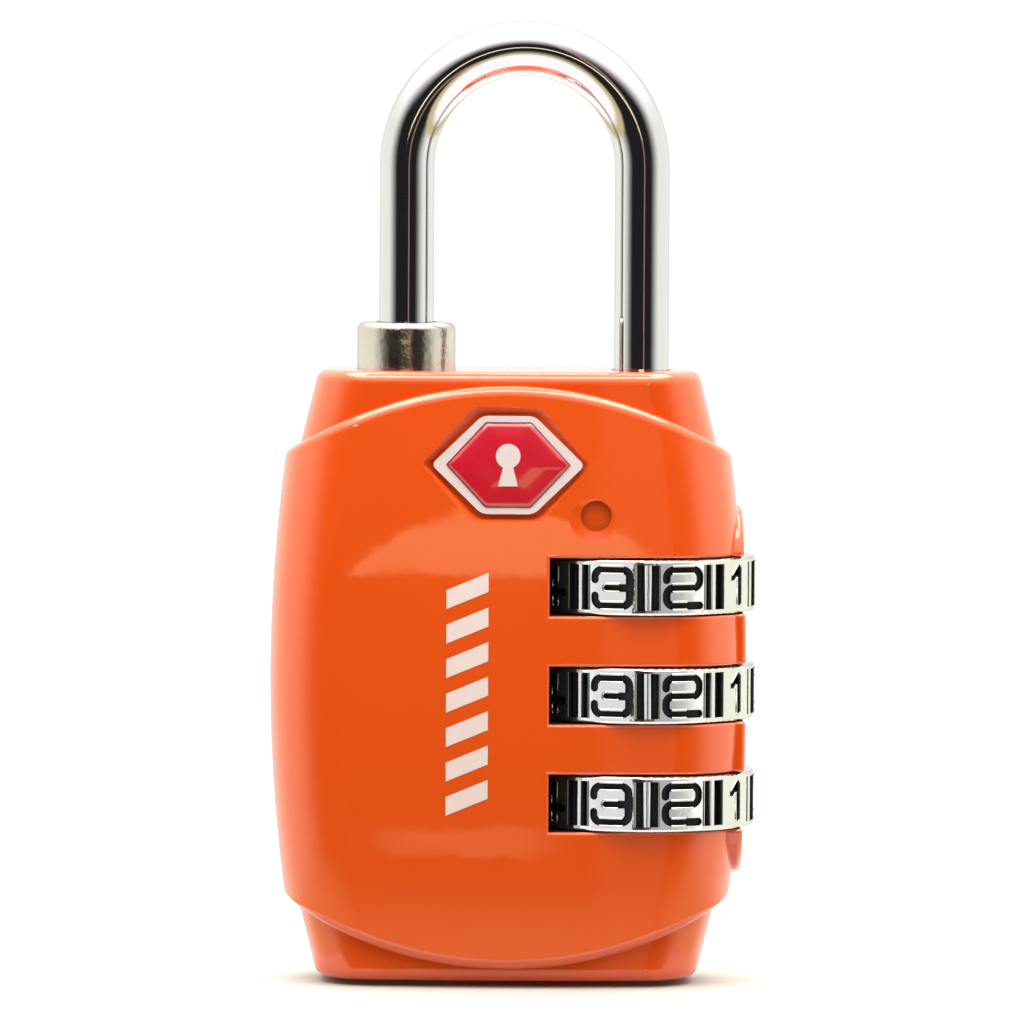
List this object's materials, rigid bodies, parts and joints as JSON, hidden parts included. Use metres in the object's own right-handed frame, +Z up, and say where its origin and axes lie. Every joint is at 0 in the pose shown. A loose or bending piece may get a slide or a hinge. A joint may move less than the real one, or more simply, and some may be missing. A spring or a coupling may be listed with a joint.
{
  "type": "luggage combination padlock",
  "caption": "Small luggage padlock: orange die-cast casing, chrome shackle, number dials on one side and a pass-key cylinder under a sliding collar.",
  "frame": {"origin": "middle of the casing's underside", "axes": "+Z up along the shackle's legs, -Y is the front with the badge, +X is the side where the dials stand out"},
  "size_m": [0.0309, 0.0146, 0.0609],
  "materials": {
    "case_paint": "gloss orange enamel over die-cast zinc",
    "shackle_chrome": "polished chrome plate",
    "dial_chrome": "chrome plate with black filled digits",
    "collar_nickel": "bright nickel plate",
    "brass": "turned",
    "zinc": "satin zinc",
    "spring_steel": "bright drawn",
    "badge_rim": "pale gloss",
    "badge_enamel": "clear domed enamel"
  },
  "bodies": {
    "casing": {"front_shell": "case_paint", "back_shell": "case_paint", "case_pins": "spring_steel", "badge_plate": "badge_rim", "badge_enamel": "badge_enamel", "heel_bush": "brass", "spring_plug": "zinc", "shackle_spring": "spring_steel", "collar_spring": "spring_steel", "key_cylinder": "zinc", "detent_spring": "spring_steel"},
    "shackle": {"shackle": "shackle_chrome"},
    "collar": {"collar": "collar_nickel"},
    "key_core": {"key_plug": "brass", "plug_clip": "spring_steel", "cam_pin": "spring_steel", "wafers": "brass", "wafer_springs": "spring_steel"},
    "dial_1": {"dial_1": "dial_chrome", "clutch_ring_1": "brass"},
    "dial_2": {"dial_2": "dial_chrome", "clutch_ring_2": "brass"},
    "dial_3": {"dial_3": "dial_chrome", "clutch_ring_3": "brass"}
  },
  "joints": [
    {"name": "shackle_lift", "type": "slide", "parent": "casing", "child": "shackle", "axis": [0, 0, 1], "range_m": [0, 0.00685], "deforming": ["shackle_spring"]},
    {"name": "key_plug_turn", "type": "hinge", "parent": "casing", "child": "key_core", "pos_m": [-0.00655, 0, 0.01], "axis": [0, 0, 1], "range_deg": [0, 90]},
    {"name": "collar_drop", "type": "slide", "parent": "casing", "child": "collar", "axis": [0, 0, -1], "range_m": [0, 0.003], "deforming": ["collar_spring"]},
    {"name": "dial_1_turn", "type": "hinge", "parent": "casing", "child": "dial_1", "pos_m": [0.00844, 0, 0.0252], "axis": [0, 0, 1], "continuous": true},
    {"name": "dial_2_turn", "type": "hinge", "parent": "casing", "child": "dial_2", "pos_m": [0.00844, 0, 0.01835], "axis": [0, 0, 1], "continuous": true},
    {"name": "dial_3_turn", "type": "hinge", "parent": "casing", "child": "dial_3", "pos_m": [0.00844, 0, 0.0115], "axis": [0, 0, 1], "continuous": true}
  ],
  "couplings": [
    {"joint": "key_plug_turn", "follows": "collar_drop", "rad_per_m": 523.6}
  ]
}
